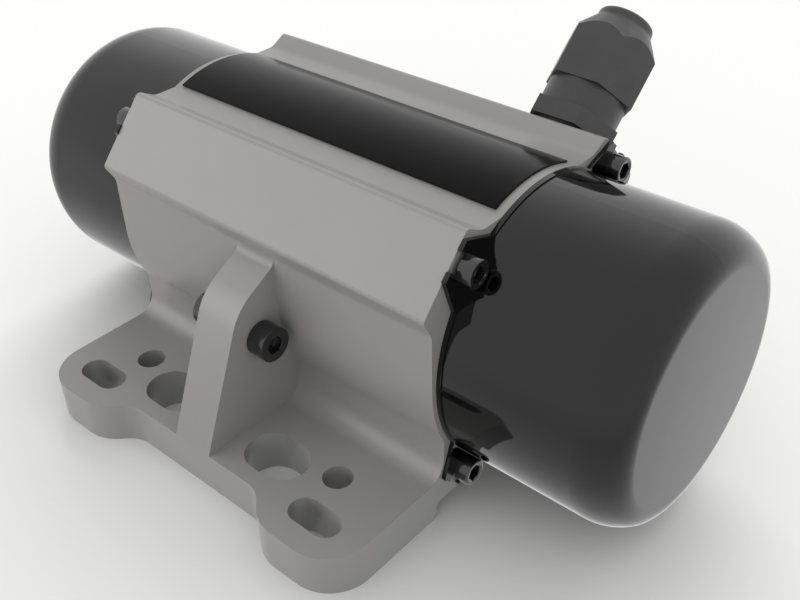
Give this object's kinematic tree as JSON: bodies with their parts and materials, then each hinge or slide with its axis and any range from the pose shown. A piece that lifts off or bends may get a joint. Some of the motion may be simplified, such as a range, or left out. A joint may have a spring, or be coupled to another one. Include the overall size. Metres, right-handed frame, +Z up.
{
  "type": "vibration motor",
  "caption": "Foot-mounted electric vibration motor: grey lobed housing with slotted feet and ribs, black end caps over eccentric weights, and a cable gland.",
  "frame": {"origin": "under the middle of the four feet, on the surface the feet stand on", "axes": "+X along the shaft towards the gland's end, +Y towards the cable gland's side, +Z up"},
  "size_m": [0.1686, 0.1228, 0.0816],
  "materials": {
    "housing_paint": "satin grey",
    "cap_black": "gloss black",
    "plate_black": "semi-gloss black",
    "black_steel": "black oxide",
    "bright_steel": "zinc plated",
    "machined_steel": "machined",
    "bearing_steel": "ground",
    "laminations": "stacked sheet",
    "copper": "varnished copper wire",
    "cast_aluminium": "as cast",
    "gland_plastic": "fine texture",
    "black_rubber": "smooth",
    "orange_rubber": "smooth"
  },
  "bodies": {
    "housing": {"bearing_clip_left": "black_steel", "bearing_clip_right": "black_steel", "bearing_outer_ring_left": "bearing_steel", "bearing_outer_ring_right": "bearing_steel", "bearing_shield_left": "cast_aluminium", "bearing_shield_right": "cast_aluminium", "cap_screws_left": "black_steel", "cap_screws_right": "black_steel", "cap_seal_left": "orange_rubber", "cap_seal_right": "orange_rubber", "earth_flat_washer": "bright_steel", "earth_screw_left": "black_steel", "earth_screw_right": "black_steel", "earth_spring_washer": "black_steel", "end_cap_left": "cap_black", "end_cap_right": "cap_black", "gland_body": "gland_plastic", "gland_gasket": "black_rubber", "gland_nut": "gland_plastic", "gland_seal": "black_rubber", "housing": "housing_paint", "nameplate": "plate_black", "stator_core": "laminations", "stator_winding": "copper"},
    "rotor": {"shaft": "machined_steel", "rotor_core": "laminations", "rotor_cage": "cast_aluminium", "bearing_inner_ring_right": "bearing_steel", "weight_spacer_right": "machined_steel", "fixed_weight_right": "machined_steel", "weight_key_right": "machined_steel", "shaft_clip_right": "black_steel", "bearing_inner_ring_left": "bearing_steel", "weight_spacer_left": "machined_steel", "fixed_weight_left": "machined_steel", "weight_key_left": "machined_steel", "shaft_clip_left": "black_steel"},
    "adjustable_weight_right": {"adjustable_weight_right": "machined_steel", "clamp_screw_right": "black_steel"},
    "ball_cage_right": {"bearing_balls_right": "bearing_steel", "bearing_cage_right": "bright_steel"},
    "adjustable_weight_left": {"adjustable_weight_left": "machined_steel", "clamp_screw_left": "black_steel"},
    "ball_cage_left": {"bearing_balls_left": "bearing_steel", "bearing_cage_left": "bright_steel"}
  },
  "joints": [
    {"name": "rotor_spin", "type": "hinge", "parent": "housing", "child": "rotor", "pos_m": [0, 0, 0.0337], "axis": [1, 0, 0], "continuous": true},
    {"name": "ball_cage_right_spin", "type": "hinge", "parent": "housing", "child": "ball_cage_right", "pos_m": [0.0395, 0, 0.0337], "axis": [1, 0, 0], "continuous": true},
    {"name": "force_setting_right", "type": "hinge", "parent": "rotor", "child": "adjustable_weight_right", "pos_m": [0.06605, 0, 0.0337], "axis": [1, 0, 0], "range_deg": [0, 180]},
    {"name": "ball_cage_left_spin", "type": "hinge", "parent": "housing", "child": "ball_cage_left", "pos_m": [-0.0395, 0, 0.0337], "axis": [1, 0, 0], "continuous": true},
    {"name": "force_setting_left", "type": "hinge", "parent": "rotor", "child": "adjustable_weight_left", "pos_m": [-0.06605, 0, 0.0337], "axis": [1, 0, 0], "range_deg": [0, 180]}
  ],
  "couplings": [
    {"joint": "ball_cage_right_spin", "follows": "rotor_spin", "ratio": 0.3659},
    {"joint": "ball_cage_left_spin", "follows": "rotor_spin", "ratio": 0.3659}
  ]
}
